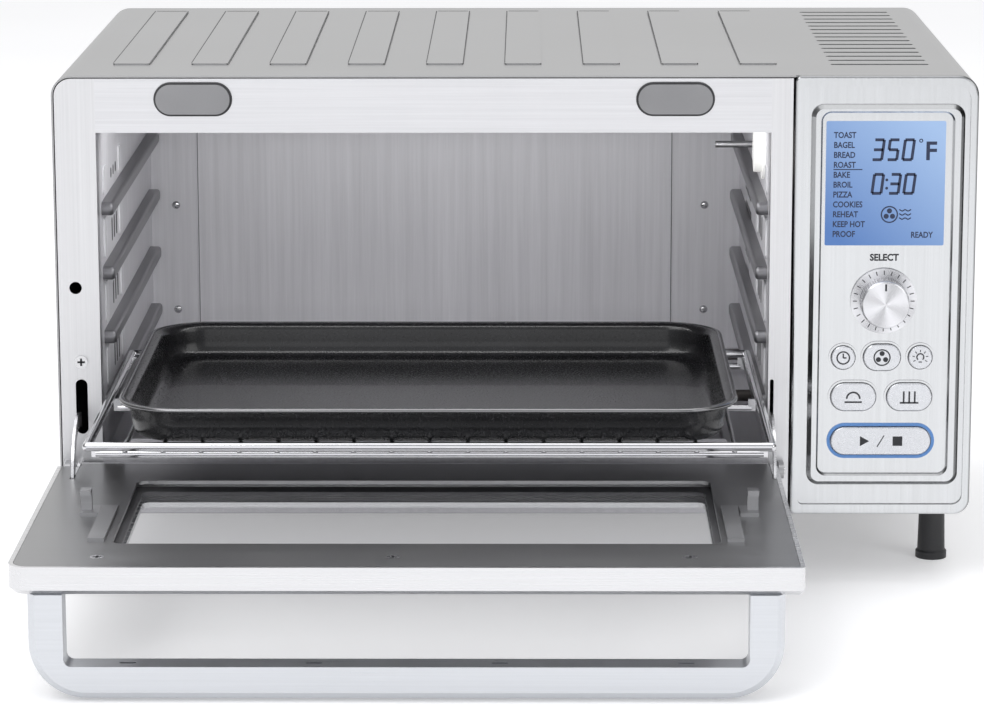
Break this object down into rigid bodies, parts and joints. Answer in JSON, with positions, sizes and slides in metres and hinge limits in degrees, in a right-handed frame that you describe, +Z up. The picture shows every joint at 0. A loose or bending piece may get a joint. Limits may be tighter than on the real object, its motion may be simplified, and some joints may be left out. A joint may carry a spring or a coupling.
{
  "type": "toaster oven",
  "caption": "Countertop convection toaster oven with a drop-down glass door and bow handle, wire rack, roasting pan, crumb tray and a control column with display, dial and buttons.",
  "frame": {"origin": "on the surface the oven stands on, under the middle of its outline with the door open", "axes": "+Z up; +Y from the door towards the back, so the front faces -Y; +X to the right of someone facing the oven"},
  "size_m": [0.53, 0.575, 0.3008],
  "materials": {
    "cover_steel": "brushed",
    "plain_steel": "mill",
    "front_steel": "satin",
    "fascia_steel": "polished",
    "cavity_steel": "aluminised",
    "door_steel": "brushed",
    "handle_metal": "satin",
    "chromed": "polished",
    "enamel": "gloss enamel",
    "clear_glass": "clear",
    "soft_grey": "matte",
    "ceramic": "matt ceramic",
    "element_tube": "oxidised",
    "wool": "mineral wool",
    "board": "circuit board",
    "black_plastic": "moulded",
    "button_silver": "silver",
    "light_blue": "lit",
    "display_blue": "backlit",
    "knob_metal": "spun",
    "screw_steel": "plated"
  },
  "bodies": {
    "housing": {"outer_cover": "cover_steel", "rear_panel": "plain_steel", "base_pan": "plain_steel", "left_stile": "front_steel", "lintel": "front_steel", "right_stile": "front_steel", "door_bumpers": "soft_grey", "frame_screws": "screw_steel", "hinge_brackets": "plain_steel", "cavity_wrapper": "cavity_steel", "cavity_floor_panel": "cavity_steel", "cavity_back_wall": "cavity_steel", "insulation_blanket": "wool", "divider_wall": "plain_steel", "rack_guides": "cavity_steel", "heating_elements": "element_tube", "element_insulators": "ceramic", "temperature_probe": "plain_steel", "fan_grille": "cavity_steel", "fan_motor": "plain_steel", "lamp_cover": "clear_glass", "lamp_socket": "ceramic", "oven_lamp": "clear_glass", "control_fascia": "fascia_steel", "display_window": "clear_glass", "display_module": "display_blue", "control_board": "board", "board_supports": "black_plastic", "button_bezels": "fascia_steel", "start_light_ring": "light_blue", "tact_switches": "black_plastic", "rotary_encoder": "black_plastic", "power_board": "board", "power_components": "black_plastic", "cord_gland": "black_plastic", "feet": "black_plastic"},
    "door": {"door_outer_frame": "door_steel", "door_inner_frame": "door_steel", "inner_glass": "clear_glass", "glass_seal": "soft_grey", "outer_glass": "clear_glass", "door_handle": "handle_metal", "door_screws": "screw_steel", "rack_hooks": "screw_steel", "hinge_arms": "plain_steel", "hinge_pins": "screw_steel"},
    "rack": {"rack_frame": "chromed", "rack_wires": "chromed"},
    "pan": {"roasting_pan": "enamel"},
    "tray": {"crumb_tray": "cavity_steel"},
    "selector": {"selector_shaft": "screw_steel", "selector_skirt": "knob_metal", "selector_knob": "knob_metal"},
    "fan": {"fan_wheel": "plain_steel"},
    "time_button_body": {"time_button": "button_silver"},
    "fan_button_body": {"fan_button": "button_silver"},
    "light_button_body": {"light_button": "button_silver"},
    "left_button_body": {"left_button": "button_silver"},
    "right_button_body": {"right_button": "button_silver"},
    "start_button_body": {"start_button": "button_silver"}
  },
  "joints": [
    {"name": "door_hinge", "type": "hinge", "parent": "housing", "child": "door", "pos_m": [0, -0.0575, 0.07], "axis": [-1, 0, 0], "range_deg": [0, 90]},
    {"name": "rack_slide", "type": "slide", "parent": "housing", "child": "rack", "axis": [0, 1, 0], "range_m": [0, 0.185]},
    {"name": "pan_lift", "type": "slide", "parent": "rack", "child": "pan", "axis": [0, 0, 1], "range_m": [0, 0.05]},
    {"name": "tray_slide", "type": "slide", "parent": "housing", "child": "tray", "axis": [0, 1, 0], "range_m": [-0.2, 0]},
    {"name": "selector_turn", "type": "hinge", "parent": "housing", "child": "selector", "pos_m": [0.2127, -0.0505, 0.1697], "axis": [0, 1, 0], "continuous": true},
    {"name": "fan_spin", "type": "hinge", "parent": "housing", "child": "fan", "pos_m": [0.16, 0.1645, 0.182], "axis": [1, 0, 0], "continuous": true},
    {"name": "time_button_press", "type": "slide", "parent": "housing", "child": "time_button_body", "axis": [0, 1, 0], "range_m": [0, 0.0015], "stiffness_N_per_m": 800},
    {"name": "fan_button_press", "type": "slide", "parent": "housing", "child": "fan_button_body", "axis": [0, 1, 0], "range_m": [0, 0.0015], "stiffness_N_per_m": 800},
    {"name": "light_button_press", "type": "slide", "parent": "housing", "child": "light_button_body", "axis": [0, 1, 0], "range_m": [0, 0.0015], "stiffness_N_per_m": 800},
    {"name": "left_button_press", "type": "slide", "parent": "housing", "child": "left_button_body", "axis": [0, 1, 0], "range_m": [0, 0.0015], "stiffness_N_per_m": 800},
    {"name": "right_button_press", "type": "slide", "parent": "housing", "child": "right_button_body", "axis": [0, 1, 0], "range_m": [0, 0.0015], "stiffness_N_per_m": 800},
    {"name": "start_button_press", "type": "slide", "parent": "housing", "child": "start_button_body", "axis": [0, 1, 0], "range_m": [0, 0.0015], "stiffness_N_per_m": 800}
  ],
  "couplings": [
    {"joint": "rack_slide", "follows": "door_hinge", "m_per_rad": 0.11777}
  ]
}
